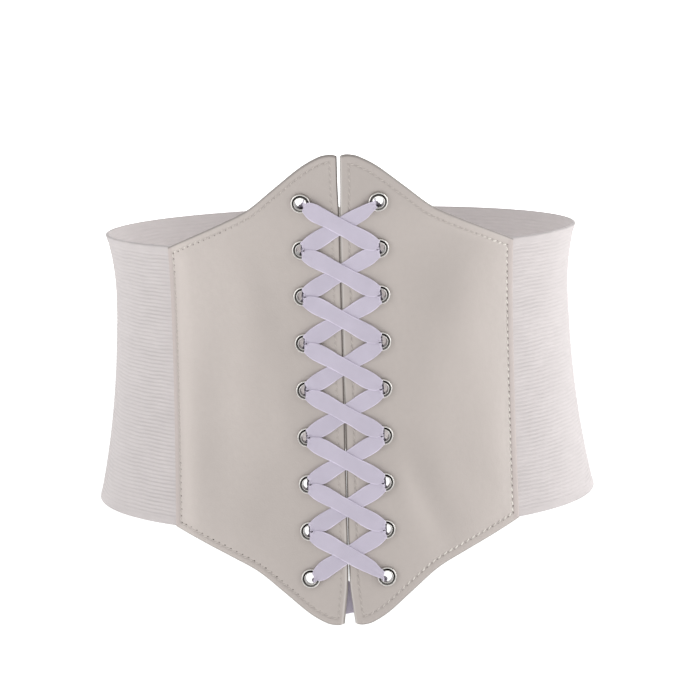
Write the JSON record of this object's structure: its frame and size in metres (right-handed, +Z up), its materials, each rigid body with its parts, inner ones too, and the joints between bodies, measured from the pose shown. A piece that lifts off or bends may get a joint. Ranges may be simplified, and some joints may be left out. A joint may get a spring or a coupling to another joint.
{
  "type": "corset belt",
  "caption": "Wide lace-up corset belt: shaped leather front panels, ribbed elastic sides, metal eyelets, crossed flat ribbon laces and a plain back closure.",
  "frame": {"origin": "middle of the waist opening at half the height of the elastic side bands", "axes": "+Z up the wearer's body, -Y out of the laced front, +X to the right as seen from the front"},
  "size_m": [0.2508, 0.1944, 0.2222],
  "materials": {
    "panel_leather": "smooth ivory beige faux leather with a faint grain, edge-stitched in ivory thread",
    "elastic_webbing": "off-white ribbed elastic webbing, matte, with plain borders",
    "lace_ribbon": "flat pale lavender woven ribbon with a soft sheen",
    "eyelet_metal": "bright nickel-plated eyelet",
    "closure_leather": "the panels' faux leather"
  },
  "bodies": {
    "root": {"front_panel_left": "panel_leather", "front_panel_right": "panel_leather", "elastic_left": "elastic_webbing", "elastic_right": "elastic_webbing", "back_closure": "closure_leather", "lace_1": "lace_ribbon", "lace_2": "lace_ribbon", "eyelet_left_1": "eyelet_metal", "eyelet_left_2": "eyelet_metal", "eyelet_left_3": "eyelet_metal", "eyelet_left_4": "eyelet_metal", "eyelet_left_5": "eyelet_metal", "eyelet_left_6": "eyelet_metal", "eyelet_left_7": "eyelet_metal", "eyelet_left_8": "eyelet_metal", "eyelet_left_9": "eyelet_metal", "eyelet_right_1": "eyelet_metal", "eyelet_right_2": "eyelet_metal", "eyelet_right_3": "eyelet_metal", "eyelet_right_4": "eyelet_metal", "eyelet_right_5": "eyelet_metal", "eyelet_right_6": "eyelet_metal", "eyelet_right_7": "eyelet_metal", "eyelet_right_8": "eyelet_metal", "eyelet_right_9": "eyelet_metal"}
  },
  "joints": []
}
